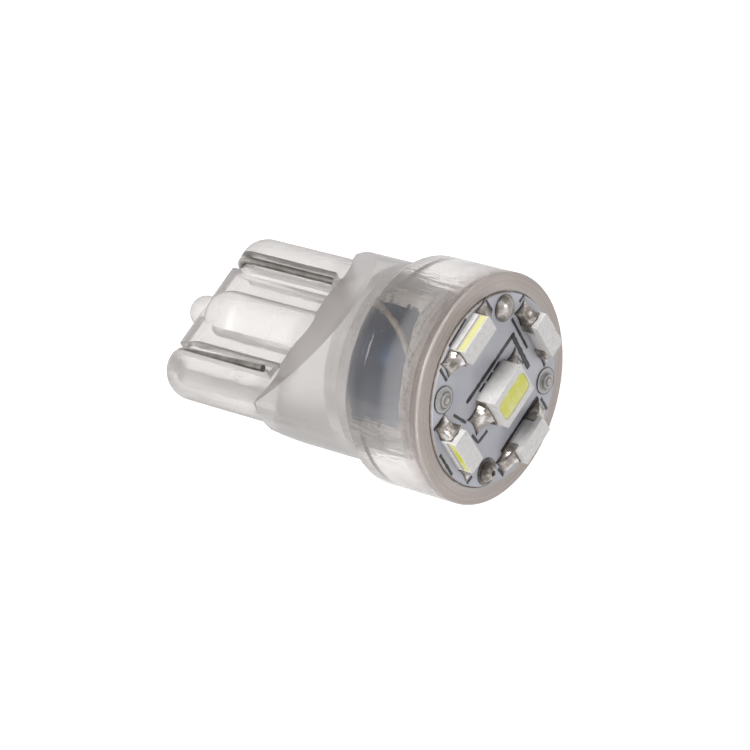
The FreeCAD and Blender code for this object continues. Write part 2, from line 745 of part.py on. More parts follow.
def build():
    """Every piece with its place in the upright lamp."""
    upright = Placement()
    offset = number(JOINT_OFFSET)
    tall_top = "board_proud + tall_dome_height - tall_lead_sink"
    pieces = [
        (base_moulding(), upright),
        (contact_wire_left("contact_wire_left"), upright),
        (contact_wire_right("contact_wire_right"), upright),
        (circuit_board(), upright),
        (glue_ring(), upright),
        (limiter_body(), upright),
        (limiter_lead("limiter_lead_top", 45, "board_proud + closed_lead_height"), upright),
        (limiter_lead("limiter_lead_bottom", 225, tall_top), upright),
        (limiter_loop("limiter_lead_loop"), upright),
        (joint("joint_left", "joint_dome", "lead"), on_board(-offset, offset, 0)),
        (joint("joint_right", "joint_dome", "wire"), on_board(offset, -offset, 0)),
        (joint("joint_top", "closed_dome", "lead"), on_board(offset, offset, 0)),
        (joint("joint_bottom", "tall_dome", "lead"), on_board(-offset, -offset, 0)),
    ]
    leds = [("centre_led", "centre", on_board(0, number("centre_shift"), 0))]
    for count, side in enumerate(["plus_x", "plus_y", "minus_x", "minus_y"]):
        outward = number(f"{RECESS_RADIUS} - wall_gap_{side} - side_width / 2")
        degrees = 90 * count - 90
        place = Rotation(Vector(0, 0, 1), degrees).multVec(Vector(number(f"shift_{side}"), outward, 0))
        leds.append((f"side_led_{count + 1}", "side", on_board(place.x, place.y, degrees)))
    for name, led, place in leds:
        pieces.append((led_housing(f"{name}_housing", led), place))
        pieces.append((led_window(f"{name}_window", led), place))
        pieces.append((led_terminals(f"{name}_terminals", led), place))
        pieces.append((led_solder(f"{name}_solder", led), place))
    return pieces


def lay_down(pieces):
    """Turn every piece with the lamp, and centre the whole over the origin of the surface."""
    turn, drop = resting_turn()
    for piece, place in pieces:
        piece.Placement = Placement(Vector(0, 0, drop), turn) * place
    doc.recompute()
    boxes = [piece.Shape.optimalBoundingBox(False) for piece, place in pieces]
    middle = (min(box.YMin for box in boxes) + max(box.YMax for box in boxes)) / 2
    print(f"rim centre at Y {-middle:.4f}, Z {drop:.4f}")
    for piece, place in pieces:
        piece.Placement = Placement(Vector(0, -middle, drop), turn) * place
    doc.recompute()


def check(pieces):
    """Stop unless every object and every piece came out sound, and every cut took something away."""
    for item in doc.Objects:
        if {"Invalid", "Error"} & set(item.State):
            raise RuntimeError(f"{item.Label} failed")
        if item.TypeId in ("PartDesign::Pocket", "PartDesign::Groove"):
            if item.Shape.Volume >= item.BaseFeature.Shape.Volume:
                raise RuntimeError(f"{item.Label} cuts nothing")
    for piece, place in pieces:
        if piece.Shape.isNull() or not piece.Shape.isValid() or not piece.Shape.Solids:
            raise RuntimeError(f"{piece.Label} has no sound shape")


pieces = build()
lay_down(pieces)
check(pieces)
os.makedirs("parts", exist_ok=True)
for piece, place in pieces:
    piece.Shape.exportStep(f"parts/{piece.Label}.step")
    print(f"{piece.Label}: {len(piece.Shape.Solids)} solid(s), {piece.Shape.Volume:.3f} cubic mm")
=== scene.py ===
import json
import math

import bmesh
import bpy
from mathutils import Matrix, Vector, noise

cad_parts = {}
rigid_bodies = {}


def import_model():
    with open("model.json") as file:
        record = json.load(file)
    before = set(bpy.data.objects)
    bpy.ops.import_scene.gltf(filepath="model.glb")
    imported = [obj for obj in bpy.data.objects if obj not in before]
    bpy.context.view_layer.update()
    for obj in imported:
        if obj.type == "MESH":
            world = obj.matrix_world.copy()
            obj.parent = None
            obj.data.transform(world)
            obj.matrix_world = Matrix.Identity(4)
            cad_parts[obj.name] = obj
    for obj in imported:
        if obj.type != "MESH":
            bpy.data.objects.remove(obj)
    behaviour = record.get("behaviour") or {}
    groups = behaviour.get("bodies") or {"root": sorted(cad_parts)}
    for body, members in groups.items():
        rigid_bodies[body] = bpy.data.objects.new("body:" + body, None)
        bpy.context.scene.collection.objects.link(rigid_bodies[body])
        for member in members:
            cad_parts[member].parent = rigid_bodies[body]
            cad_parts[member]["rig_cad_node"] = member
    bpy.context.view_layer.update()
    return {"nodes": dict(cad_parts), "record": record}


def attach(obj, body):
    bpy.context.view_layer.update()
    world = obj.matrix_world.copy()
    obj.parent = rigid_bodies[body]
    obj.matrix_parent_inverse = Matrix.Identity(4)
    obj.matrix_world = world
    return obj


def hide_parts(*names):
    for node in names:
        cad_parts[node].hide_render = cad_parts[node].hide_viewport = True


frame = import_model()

# The lamp's own axes. It is drawn upright in millimetres, with +Z out of the lit face and the rim at
# height 0, and every piece is then laid down on the table with the real lamp's tilt.
mounts = {mount["name"]: mount for mount in frame["record"]["mounts"]}
lit_way = Vector(mounts["rim_face"]["axis"]).normalized()
across = Vector((1, 0, 0))
upward = lit_way.cross(across)
rim_to_ridge = 10.8
rim_centre = Vector(mounts["wedge_base"]["pos_m"]) + lit_way * rim_to_ridge * 0.001
upright_to_table = Matrix.Translation(rim_centre) @ Matrix((across, upward, lit_way)).transposed().to_4x4() \
    @ Matrix.Scale(0.001, 4)
lamp_axes = bpy.data.objects.new("lamp_axes", None)
lamp_axes.matrix_world = upright_to_table
bpy.context.scene.collection.objects.link(lamp_axes)


# Clear moulding: head, band, collar with two roof faces, and the flat wedge with its side beads, centre
# barrel and gate nub. One shot of clear, slightly smoky polycarbonate: polished on the head, drawn off the
# tool along the wedge, and scuffed and milky at the rim where it was turned off. Its tint is painted darker
# over the collar's roof faces, and its tint and milk darker towards grazing angles: painted shade.

class Shade:
    """A socket in a material. Sums written with it add Math nodes, and it is their first value."""

    def __init__(self, tree, socket=None):
        self.tree = tree
        self.socket = socket

    def node(self, kind, sockets, output=0, stops=None, **settings):
        """A new node of this kind: settings and ramp stops first, then its sockets' values or links."""
        made = self.tree.nodes.new(f"ShaderNode{kind}")
        for setting, value in settings.items():
            setattr(made, setting, value)
        if stops:
            ramp = made.color_ramp.elements
            ramp[1].position = stops[-1][0]
            ramp[0].position = stops[0][0]
            for position, tone in stops[1:-1]:
                ramp.new(position)
            for stop, (position, tone) in zip(ramp, stops):
                stop.color = (*tone, 1) if isinstance(tone, tuple) else (tone, tone, tone, 1)
        for name, value in sockets.items():
            if isinstance(value, Shade):
                self.tree.links.new(value.socket, made.inputs[name])
            elif isinstance(value, tuple) and made.inputs[name].type == "RGBA":
                made.inputs[name].default_value = (*value, 1)
            else:
                made.inputs[name].default_value = value
        return Shade(self.tree, made.outputs[output]) if made.outputs else None

    def maths(self, operation, *terms):
        return self.node("Math", dict(enumerate((self, *terms))), operation=operation)

    def __add__(self, other):
        return self.maths("ADD", other)

    def __radd__(self, other):
        return self.maths("ADD", other)

    def __sub__(self, other):
        return self.maths("SUBTRACT", other)

    def __rsub__(self, other):
        return self.node("Math", {0: other, 1: self}, operation="SUBTRACT")

    def __mul__(self, other):
        return self.maths("MULTIPLY", other)

    def lamp_place(self):
        """Place on the lamp in millimetres, along its own axes."""
        return self.node("TexCoord", {}, output=3, object=lamp_axes)

    def along(self, axis):
        return self.node("SeparateXYZ", {"Vector": self}, output=axis)

    def stretched(self, scale):
        return self.node("Mapping", {"Vector": self, "Scale": scale})

    def distance(self, other):
        return self.node("VectorMath", {0: self, 1: other}, output="Value", operation="DISTANCE")

    def cloud(self, scale, detail=2.0, roughness=0.5):
        return self.node("TexNoise", {
            "Vector": self, "Scale": scale, "Detail": detail, "Roughness": roughness})

    def specks(self, scale):
        """Distance from the nearest of many scattered dots."""
        return self.node("TexVoronoi", {"Vector": self, "Scale": scale})

    def ramp(self, *stops):
        return self.node("ValToRGB", {"Fac": self}, stops=stops)

    def blend(self, first, second):
        """Colour between two colours."""
        return self.node("Mix", {0: self, 6: first, 7: second}, output=2, data_type="RGBA")

    def bump(self, strength, distance):
        return self.node("Bump", {"Height": self, "Strength": strength, "Distance": distance})


def finish(name, slot, surface):
    """Material with the surface that surface() returns, for one slot of the record."""
    material = bpy.data.materials.new(name)
    material.use_nodes = True
    tree = material.node_tree
    tree.nodes.clear()
    start = Shade(tree)
    start.node("OutputMaterial", {"Surface": surface(start)})
    material["slot"] = slot
    return material


def put_on(piece, material, replaced=()):
    """The piece in its material, riding on the lamp and standing for the nodes that it replaces."""
    piece.data.materials.clear()
    piece.data.materials.append(material)
    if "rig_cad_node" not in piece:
        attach(piece, "root")
    if replaced:
        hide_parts(*replaced)
    return piece


def made_piece(name, points, faces, sharp_angle=35):
    """Mesh piece from upright points in millimetres, smooth apart from its sharp edges."""
    mesh = bpy.data.meshes.new(name)
    mesh.from_pydata([tuple(p) for p in points], [], faces)
    mesh.transform(upright_to_table)
    mesh.shade_smooth()
    mesh.set_sharp_from_angle(angle=math.radians(sharp_angle))
    piece = bpy.data.objects.new(name, mesh)
    bpy.context.scene.collection.objects.link(piece)
    return piece


def eased(corners, steps=5):
    """Outline from (x, y, radius) corners, each rounded to its radius."""
    outline = []
    for index, (x, y, radius) in enumerate(corners):
        here = Vector((x, y))
        if radius == 0:
            outline.append(here)
            continue
        back = (Vector(corners[index - 1][:2]) - here).normalized()
        ahead = (Vector(corners[(index + 1) % len(corners)][:2]) - here).normalized()
        half = back.angle(ahead) / 2
        centre = here + (back + ahead).normalized() * radius / math.sin(half)
        start = here + back * radius / math.tan(half) - centre
        turn = start.angle_signed(here + ahead * radius / math.tan(half) - centre)
        for step in range(steps + 1):
            outline.append(centre + Matrix.Rotation(-turn * step / steps, 2) @ start)
    return outline


def turned(outline, around=160, centre=(0, 0)):
    """Points and faces of an outline of radius and height, turned round an upright axis."""
    points, faces, rings = [], [], []
    for radius, height in outline:
        if radius < 1e-6:
            rings.append([len(points)] * around)
            points.append(Vector((centre[0], centre[1], height)))
            continue
        rings.append([len(points) + step for step in range(around)])
        for step in range(around):
            angle = 2 * math.pi * step / around
            points.append(Vector((
                centre[0] + radius * math.cos(angle), centre[1] + radius * math.sin(angle), height)))
    for upper, lower in zip(rings, rings[1:] + rings[:1]):
        for step in range(around):
            ahead = (step + 1) % around
            corners = [upper[step], upper[ahead], lower[ahead], lower[step]]
            kept = [c for i, c in enumerate(corners) if c != corners[i - 1]]
            if len(kept) > 2:
                faces.append(kept)
    return points, faces


def drawn_out(outline, low, high, place):
    """Points and faces of an outline drawn out from low to high; place() turns (u, v, w) into a point."""
    count = len(outline)
    points = [place(u, v, low) for u, v in outline] + [place(u, v, high) for u, v in outline]
    faces = [list(range(count))[::-1], list(range(count, 2 * count))]
    faces += [[i, (i + 1) % count, count + (i + 1) % count, count + i] for i in range(count)]
    return points, faces


def along_x(u, v, w):
    """Place for drawn_out: the outline's plane is Y and Z, and it is drawn out along X."""
    return Vector((w, u, v))


def raw_solid(name, shape):
    """Closed mesh from points and faces, upright in millimetres, with all its faces turned outwards."""
    mesh = bpy.data.meshes.new(name)
    mesh.from_pydata([tuple(p) for p in shape[0]], [], shape[1])
    built = bmesh.new()
    built.from_mesh(mesh)
    bmesh.ops.remove_doubles(built, verts=built.verts, dist=1e-5)
    bmesh.ops.recalc_face_normals(built, faces=built.faces)
    built.to_mesh(mesh)
    built.free()
    solid = bpy.data.objects.new(name, mesh)
    bpy.context.scene.collection.objects.link(solid)
    return solid


def worked(body, steps):
    """The tools of these steps, each set to be joined to the body or cut from it by a modifier."""
    tools = []
    for operation, shape in steps:
        tool = raw_solid("tool", shape)
        tools.append(tool)
        change = body.modifiers.new("work", "BOOLEAN")
        change.operation = operation
        change.solver = "EXACT"
        change.object = tool
    return tools


head_radius, head_length = 5.5, 4.35
band_radius, band_end, collar_radius = 4.9, 5.5, 4.8
shell = raw_solid("shell", turned(eased([
    (0, 0, 0), (head_radius, 0, 0.15), (head_radius, -head_length, 0.28), (band_radius, -head_length, 0.06),
    (band_radius, -band_end, 0.06), (collar_radius, -band_end, 0.02), (collar_radius, -rim_to_ridge, 0),
    (0, -rim_to_ridge, 0)])))
wedge_end, root, bead_radius, bead_centre, web_half = 17.5, 9.6, 1.45, 3.3, 0.85
quarter = [math.radians(4.5 * step) for step in range(21)]
round_middle = -wedge_end + bead_radius
bead = [(0, -root), (bead_radius, -root)]
bead += [(bead_radius * math.cos(a), round_middle - bead_radius * math.sin(a)) for a in quarter]
barrel_radius, nub_radius, nub_reach = 1.4, 0.84, 1.07
neck_steps = 16
neck_angles = [math.acos(nub_radius / barrel_radius) * i / neck_steps for i in range(neck_steps + 1)]
nub_middle = -wedge_end - nub_reach + nub_radius
barrel = [(0, -root), (barrel_radius, -root)]
barrel += [(barrel_radius * math.cos(a), round_middle - barrel_radius * math.sin(a)) for a in neck_angles]
barrel += [(nub_radius * math.cos(a), nub_middle - nub_radius * math.sin(a)) for a in quarter]
ridge_half, roof_rise, roof_outer, waste_half = 1.05, 5.85, band_radius + 0.4, 6
roof = [(ridge_half, -rim_to_ridge), (roof_outer, -rim_to_ridge), (roof_outer, -rim_to_ridge + roof_rise)]
web_corner = 0.45
web = eased([
    (-web_half, -root, 0), (-web_half, -wedge_end, web_corner), (web_half, -wedge_end, web_corner),
    (web_half, -root, 0)])
going_floor, free_floor, groove_end, groove_corner = 0.805, 0.655, 17.155, 0.72
past_face, past_end = 3, 19
groove = eased([
    (going_floor, -rim_to_ridge, 0), (going_floor, -groove_end, groove_corner),
    (-free_floor, -groove_end, groove_corner), (-free_floor, -rim_to_ridge, 0),
    (-past_face, -rim_to_ridge, 0), (-past_face, -past_end, 0), (past_face, -past_end, 0),
    (past_face, -rim_to_ridge, 0)], 8)
groove_inner, groove_outer = 2.375, 3.175
ledge, recess_radius, past_rim = 0.85, 4.65, 1
cavity_radius, taper_start, floor_radius, floor_depth = 4.3, 5.5, 3.4, 6.7
hollow = [(0, past_rim), (recess_radius, past_rim), (recess_radius, -ledge), (cavity_radius, -ledge),
          (cavity_radius, -taper_start), (floor_radius, -floor_depth), (0, -floor_depth)]
wire_x, wire_y, wire_bore, bore_start, bore_end = 2.9, 1.0, 0.195, 6.5, 11
bore = [(0, -bore_start), (wire_bore, -bore_start), (wire_bore, -bore_end), (0, -bore_end)]
tools = worked(shell, [
    ("DIFFERENCE", drawn_out(roof, -waste_half, waste_half, along_x)),
    ("DIFFERENCE", drawn_out([(-u, v) for u, v in roof], -waste_half, waste_half, along_x)),
    ("UNION", drawn_out(web, -bead_centre, bead_centre, along_x)),
    ("UNION", turned(bead, 96, (bead_centre, 0))),
    ("UNION", turned(bead, 96, (-bead_centre, 0))),
    ("UNION", turned(barrel, 96)),
    ("DIFFERENCE", drawn_out(groove, groove_inner, groove_outer, along_x)),
    ("DIFFERENCE", drawn_out([(-u, v) for u, v in groove], -groove_outer, -groove_inner, along_x)),
    ("DIFFERENCE", turned(bore, 24, (wire_x, wire_y))),
    ("DIFFERENCE", turned(bore, 24, (-wire_x, -wire_y))),
    ("DIFFERENCE", turned(hollow)),
])
depsgraph = bpy.context.evaluated_depsgraph_get()
moulding_mesh = bpy.data.meshes.new_from_object(shell.evaluated_get(depsgraph))
for used in tools + [shell]:
    bpy.data.objects.remove(used)
moulding_mesh.transform(upright_to_table)
moulding_mesh.shade_smooth()
moulding_mesh.set_sharp_from_angle(angle=math.radians(28))
moulding = bpy.data.objects.new("clear_moulding", moulding_mesh)
bpy.context.scene.collection.objects.link(moulding)


def clear_plastic(start):
    place = start.lamp_place()
    height = place.along("Z")
    moulding_length = 18.6
    down = height * (-1 / moulding_length)
    radius = place.stretched((1, 1, 0)).distance((0, 0, 0))
    flow = place.stretched((3.0, 3.0, 0.5)).cloud(1.2, 3.0)
    scuffs = place.cloud(7.0, 4.0, 0.6)
    rings = start.node("CombineXYZ", {
        "X": radius + scuffs * 0.05, "Y": height + flow * 0.1}).cloud(7.0, 4.0, 0.7)
    near_rim = down.ramp((0.0, 1.0), (0.035, 0.8), (0.06, 0.0))
    ringed = near_rim * rings.ramp((0.42, 0.0), (0.58, 1.0))
    dirt = place.specks(1.1).ramp((0.02, 1.0), (0.06, 0.0))
    seam = place.along("Y").maths("ABSOLUTE").ramp((0.02, 1.0), (0.06, 0.0)) * (place.along("X") * -0.25)
    # Facing: the glass is painted darker towards grazing angles, a painted shade along its silhouettes.
    edge = start.node("LayerWeight", {"Blend": 0.4}, output="Facing").maths("POWER", 3.0)
    # Tint along the lamp: brown at the rim, darker over the collar's roof faces as a painted shade, lighter
    # along the wedge.
    clear_tone = down.ramp(
        (0.0, (0.34, 0.275, 0.25)), (0.03, (0.50, 0.44, 0.41)), (0.06, (0.74, 0.715, 0.70)),
        (0.225, (0.72, 0.70, 0.685)), (0.245, (0.70, 0.645, 0.61)), (0.285, (0.70, 0.65, 0.615)),
        (0.30, (0.60, 0.58, 0.56)), (0.58, (0.62, 0.60, 0.58)), (0.62, (0.88, 0.86, 0.845)))
    on_roof = down.ramp((0.25, 0.0), (0.3, 1.0), (0.58, 1.0), (0.62, 0.0))
    # Random darker blotches only on the roof faces, adding to their painted shade.
    roof_blotches = place.cloud(0.3, 2.0).ramp((0.42, 0.0), (0.6, 0.2)) * on_roof
    tint_with_painted_shade = (edge * 3.0 + roof_blotches).maths("MINIMUM", 1.0).blend(clear_tone, (0.42, 0.395, 0.38))
    age = (dirt * 0.5 + seam * 0.15 + ringed * 0.5).maths("MINIMUM", 1.0)
    relief = (flow * 0.6 + near_rim * rings * 0.6).bump(0.35, 0.00008)
    glass = start.node("BsdfPrincipled", {
        "IOR": 1.5, "Transmission Weight": 1.0, "Normal": relief,
        "Base Color": age.blend(tint_with_painted_shade, (0.35, 0.26, 0.22)),
        "Roughness": scuffs * 0.04 + down.ramp(
            (0.0, 0.42), (0.01, 0.3), (0.02, 0.05), (0.23, 0.03), (0.24, 0.16), (0.31, 0.2),
            (0.58, 0.18), (0.62, 0.1), (1.0, 0.14))})
    # The milk is painted nearly black towards grazing angles: more painted edge shade.
    painted_edge_shade = (edge.maths("POWER", 0.5) * 1.5).maths("MINIMUM", 1.0)
    milk_tone = painted_edge_shade.blend((0.70, 0.68, 0.665), (0.17, 0.15, 0.14))
    milk = start.node("BsdfPrincipled", {
        "Roughness": 0.4, "Normal": relief,
        "Base Color": (ringed * 0.75).blend(milk_tone, (0.40, 0.31, 0.27))})
    # Share of milk: more towards grazing angles, part of the painted edge shade, and set along the lamp for
    # each zone.
    haze = edge * 0.7 + down.ramp(
        (0.0, 0.55), (0.01, 0.22), (0.022, 0.16), (0.1, 0.16), (0.125, 0.05), (0.225, 0.05), (0.24, 0.25),
        (0.31, 0.26), (0.58, 0.26), (0.62, 0.3), (1.0, 0.34))
    return start.node("MixShader", {0: haze.maths("MINIMUM", 1.0), 1: glass, 2: milk})


put_on(moulding, finish("clear_plastic", "clear_plastic", clear_plastic), ["base_moulding"])


# Contact wires and leads: tinned wire drawn through the collar and bent round the wedge, and the thinner
# leads of the limiter. The drawn tin is dull and browned, with fine lines along it.

def dull_tin(start):
    place = start.lamp_place()
    lines = place.stretched((9.0, 9.0, 0.4)).cloud(2.0, 3.0)
    stains = place.cloud(1.6, 4.0)
    return start.node("BsdfPrincipled", {
        "Metallic": 1.0,
        "Base Color": stains.ramp((0.35, (0.22, 0.205, 0.19)), (0.7, (0.38, 0.36, 0.34))),
        "Roughness": 0.28 + lines * 0.3,
        "Normal": lines.bump(0.3, 0.00002)})


def browned_lead(start):
    place = start.lamp_place()
    stains = place.cloud(2.4, 4.0)
    return start.node("BsdfPrincipled", {
        "Metallic": 0.35,
        "Base Color": stains.ramp((0.35, (0.32, 0.28, 0.245)), (0.7, (0.56, 0.51, 0.46))),
        "Roughness": 0.3 + stains * 0.3,
        "Normal": stains.bump(0.3, 0.00003)})


dull_tin_finish = finish("dull_tin", "tinned_wire", dull_tin)
browned_lead_finish = finish("browned_lead", "tinned_wire", browned_lead)
for wire in ("contact_wire_left", "contact_wire_right"):
    put_on(frame["nodes"][wire], dull_tin_finish)
for lead in ("limiter_lead_top", "limiter_lead_bottom", "limiter_lead_loop"):
    put_on(frame["nodes"][lead], browned_lead_finish)


# Current limiter: a round element dipped in glossy navy lacquer, so its edges are soft and its sides are
# not quite true. Dust from the glue has settled on its upper part. Along one side it is painted mottled
# silver, a painted reflection of the white table, and along the other side pale grey, a painted highlight.

def lumpy(points, size, depth, seed):
    """Points moved along their own direction from the axis by smooth noise."""
    moved = []
    for point in points:
        away = Vector((point.x, point.y, 0))
        swell = noise.noise(point * size + Vector((seed, 0, 0))) * depth
        moved.append(point + (away.normalized() * swell if away.length > 0.1 else Vector((0, 0, swell))))
    return moved


limiter_radius, limiter_top, limiter_end = 3.46, -2.02, -5.68
limiter_points, limiter_faces = turned(eased([
    (0, limiter_end, 0), (limiter_radius, limiter_end, 0.75), (limiter_radius, limiter_top, 0.42),
    (0, limiter_top, 0)], 8))
limiter = made_piece("navy_limiter", lumpy(limiter_points, 0.7, 0.05, 4), limiter_faces)


def navy_lacquer(start):
    place = start.lamp_place()
    ripple = place.cloud(0.9, 3.0)
    mottle = place.cloud(3.2, 5.0, 0.65)
    dust = (place.specks(3.4) + mottle * 0.4).ramp((0.2, 1.0), (0.32, 0.0))
    side = (place.along("X") * 0.875 + place.along("Y") * 0.485 + mottle * 1.8) * 0.1 + 0.5
    # Painted reflection of the white table: mottled silver along one side of the lacquer.
    painted_reflection_mask = side.ramp((0.305, 1.0), (0.33, 0.0))
    # Painted highlight: pale grey along the opposite side.
    painted_highlight_mask = side.ramp((0.825, 0.0), (0.84, 1.0))
    dusty = (place.along("Z") + mottle * 1.2 + 4.6).ramp((0.2, 0.15), (0.9, 1.0))
    painted_reflection_tone = mottle.ramp((0.4, (0.42, 0.41, 0.40)), (0.54, (0.88, 0.86, 0.84)))
    tone = painted_reflection_mask.blend((0.045, 0.08, 0.17), painted_reflection_tone)
    painted_highlight_tone = mottle.ramp((0.38, (0.80, 0.78, 0.76)), (0.5, (0.97, 0.95, 0.93)))
    return start.node("BsdfPrincipled", {
        "Metallic": (1 - painted_highlight_mask.maths("MAXIMUM", dust * dusty)).maths("MAXIMUM", 0.15) * 0.8,
        "Base Color": (dust * dusty * 0.8).blend(painted_highlight_mask.blend(tone, painted_highlight_tone), (0.6, 0.58, 0.56)),
        "Roughness": ripple.ramp((0.3, 0.3), (0.7, 0.38)),
        "Normal": (ripple + mottle * 0.15).bump(0.35, 0.00015)})


put_on(limiter, finish("navy_lacquer", "dark_potting", navy_lacquer), ["limiter_body"])


# Glue: clear glue run round behind the board by hand, so its edge is uneven. It is full of dust, white
# bits and small bubbles, and it keeps clear of the leads.

glue_outer, glue_top, glue_width = 4.27, -0.86, 0.62
glue_around, glue_across = 200, 12
glue_points, glue_faces = [], []
for step in range(glue_around):
    angle = 2 * math.pi * step / glue_around
    way = Vector((math.cos(angle), math.sin(angle), 0))
    wander = noise.noise(way * 3 + Vector((0, 0, 7)))
    reach = 0.8 + 0.42 * math.exp(-((math.degrees(angle) - 82) / 22) ** 2) + 0.16 * wander
    width = glue_width * (1 + 0.12 * noise.noise(way * 5))
    row = [way * glue_outer + Vector((0, 0, glue_top))]
    for part in range(glue_across + 1):
        share = part / glue_across
        spot = way * (glue_outer - width * (1 - share) ** 1.5)
        spot.z = glue_top - reach * share ** 1.4
        row.append(spot + way * 0.03 * noise.noise(spot * 6) * math.sin(math.pi * share))
    glue_points += row
row_length = glue_across + 2
for step in range(glue_around):
    here, ahead = step * row_length, (step + 1) % glue_around * row_length
    for part in range(row_length):
        after = (part + 1) % row_length
        glue_faces.append([here + part, ahead + part, ahead + after, here + after])
glue = made_piece("speckled_glue", glue_points, glue_faces)


def speckled_glue(start):
    place = start.lamp_place()
    grain = place.cloud(5.0, 4.0, 0.7)
    bits = place.specks(3.2).ramp((0.1, 1.0), (0.22, 0.0))
    layers = place.stretched((0.6, 0.6, 5.0)).cloud(1.6, 4.0, 0.6)
    tone = (grain * 0.5 + layers).ramp(
        (0.62, (0.16, 0.15, 0.145)), (0.68, (0.60, 0.58, 0.56)), (0.72, (0.92, 0.91, 0.89)),
        (0.75, (0.24, 0.22, 0.21)), (0.79, (0.97, 0.96, 0.94)), (0.88, (0.7, 0.68, 0.66)))
    return start.node("BsdfPrincipled", {
        "Base Color": (bits * 0.8).blend(tone, (0.9, 0.89, 0.87)),
        "Roughness": 0.2 + grain * 0.2,
        "Normal": (grain + bits * 0.4).bump(0.8, 0.00015)})


put_on(glue, finish("speckled_glue", "clear_glue", speckled_glue), ["glue_ring"])


# Board: a round of white-coated glass laminate pressed into the mouth of the head. The coat stops at its
# cut edge, which is bare and beige. Black lines printed on it mark the LEDs' places.

board_top, ink_height = 0.15, 0.013


def white_coat(start):
    place = start.lamp_place()
    weave = place.cloud(5.0, 3.0)
    patches = place.cloud(0.6, 2.0)
    coat = patches.ramp((0.3, (0.34, 0.343, 0.385)), (0.7, (0.41, 0.413, 0.45)))
    radius = place.stretched((1, 1, 0)).distance((0, 0, 0))
    cut = (radius - 4.0).ramp((0.52, 0.0), (0.55, 1.0))
    behind = place.along("Z").ramp((0.0, 1.0), (0.12, 0.0))
    bare = weave.ramp((0.3, (0.26, 0.21, 0.16)), (0.7, (0.42, 0.36, 0.29)))
    return start.node("BsdfPrincipled", {
        "Base Color": (cut * behind).blend(coat, bare),
        "Roughness": 0.3 + weave * 0.12,
        "Normal": weave.bump(0.15, 0.00005)})


put_on(frame["nodes"]["circuit_board"], finish("white_coat", "board_white", white_coat))


def inked(lines, low=board_top, high=board_top + ink_height):
    """Points and faces of printed lines, each (width, corners), a little uneven along their edges."""
    points, faces = [], []
    for width, corners in lines:
        spots = []
        for start, end in zip(corners, corners[1:]):
            start, end = Vector(start), Vector(end)
            steps = max(2, round((end - start).length / 0.12))
            spots += [start.lerp(end, step / steps) for step in range(steps)]
        spots.append(Vector(corners[-1]))
        first = len(points)
        for index, spot in enumerate(spots):
            ahead = (spots[min(index + 1, len(spots) - 1)] - spots[max(index - 1, 0)]).normalized()
            half = width / 2 * (1 + 0.35 * noise.noise(Vector((spot.x * 5, spot.y * 5, width))))
            side = Vector((-ahead.y, ahead.x)) * half
            points += [Vector((*(spot + side), high)), Vector((*(spot - side), high)),
                       Vector((*(spot - side), low)), Vector((*(spot + side), low))]
        for index in range(len(spots) - 1):
            here = first + 4 * index
            faces += [[here + k, here + (k + 1) % 4, here + 4 + (k + 1) % 4, here + 4 + k] for k in range(4)]
        last = len(points) - 4
        faces += [[first + 3, first + 2, first + 1, first], [last, last + 1, last + 2, last + 3]]
    return points, faces


def dashes(start, end, count, ink):
    """Start and end of each dash on a broken line, ink being the printed share of it."""
    start, end = Vector(start), Vector(end)
    return [[start.lerp(end, i / count), start.lerp(end, (i + ink) / count)] for i in range(count)]


printed = [
    (0.2, [(-1.73, 1.22), (2.48, 1.12)]), (0.27, [(2.40, 1.2), (2.29, -1.18)]),
    (0.15, [(-2.68, 1.52), (-2.32, 0.48)]), (0.16, [(-2.38, -0.39), (-2.31, -1.07), (-1.52, -1.15)]),
    (0.17, [(1.88, -2.9), (-1.47, -2.87)]), (0.13, [(2.06, 4.11), (2.09, 3.35)]),
    (0.13, [(4.11, 2.03), (3.68, 2.03)]), (0.15, [(2.83, 1.83), (2.78, -0.28)]),
    (0.15, [(-2.04, 4.12), (-2.04, 3.27)]), (0.15, [(-3.27, 2.04), (-4.04, 2.1)]),
    (0.15, [(-4.45, 0.78), (-4.45, -0.75)]), (0.14, [(-3.56, -2.04), (-4.01, -1.99)]),
    (0.14, [(2.03, -3.21), (2.03, -4.04)]), (0.14, [(-2.1, -3.37), (-2.04, -3.99)]),
    (0.13, [(0.59, 4.56), (-0.97, 4.47)])]
printed += [(0.14, dash) for dash in dashes((-0.8, 0.88), (1.14, 0.86), 3, 0.8)]
board_print = made_piece("board_print", *inked(printed))


def black_ink(start):
    place = start.lamp_place()
    wear = place.cloud(9.0, 3.0)
    return start.node("BsdfPrincipled", {
        "Base Color": wear.ramp((0.5, (0.012, 0.012, 0.014)), (0.8, (0.07, 0.07, 0.075))),
        "Roughness": 0.35 + wear * 0.2,
        "Normal": wear.bump(0.2, 0.00002)})


put_on(board_print, finish("black_ink", "dark_potting", black_ink))


# Solder: four hand-made joints on the board, where flux has left rings round the leads, and the fillets at
# the ends of the LEDs, pulled in between their corners as the solder set.

joint_offset = 2.74


def joint_solder(start):
    place = start.lamp_place()
    cloud = place.cloud(3.0, 4.0, 0.6)
    folded = start.node("VectorMath", {0: place.stretched((1, 1, 0))}, operation="ABSOLUTE")
    out = folded.distance((joint_offset, joint_offset, 0)) + cloud * 0.08
    rings = out.ramp((0.17, (0.03, 0.028, 0.028)), (0.2, (0.22, 0.205, 0.195)), (0.26, (0.13, 0.12, 0.11)),
                     (0.34, (0.36, 0.35, 0.345)), (0.41, (0.10, 0.09, 0.085)), (0.48, (0.30, 0.29, 0.285)),
                     (0.63, (0.34, 0.34, 0.345)), (0.69, (0.025, 0.022, 0.02)))
    return start.node("BsdfPrincipled", {
        "Metallic": 0.15, "Base Color": rings,
        "Roughness": cloud.ramp((0.3, 0.3), (0.65, 0.14)),
        "Normal": cloud.bump(0.6, 0.0001)})


joint_finish = finish("joint_solder", "solder", joint_solder)
for joint in ("joint_left", "joint_right"):
    put_on(frame["nodes"][joint], joint_finish)


